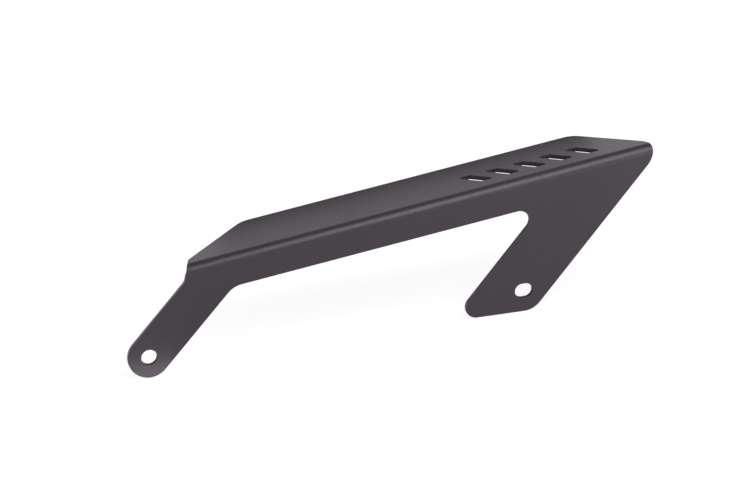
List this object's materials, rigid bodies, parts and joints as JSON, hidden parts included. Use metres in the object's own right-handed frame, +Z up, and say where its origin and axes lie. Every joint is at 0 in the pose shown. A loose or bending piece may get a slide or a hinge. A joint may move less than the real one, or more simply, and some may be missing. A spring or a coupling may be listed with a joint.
{
  "type": "scooter belt guard",
  "caption": "Belt guard folded from sheet: an outer plate with a slanted arm and foot for the fixing screws, and a flange with a row of slanted vents that covers the belt.",
  "frame": {"origin": "centre of the round fixing hole in the arm, on the plate's outer face", "axes": "+X from the round hole to the slotted hole in the foot, which is level with it, +Y from the plate's outer face towards the belt, the way the flange is folded, +Z up"},
  "size_m": [0.2388, 0.0327, 0.0669],
  "materials": {
    "black_coat": "satin"
  },
  "bodies": {
    "root": {"belt_guard": "black_coat"}
  },
  "joints": []
}
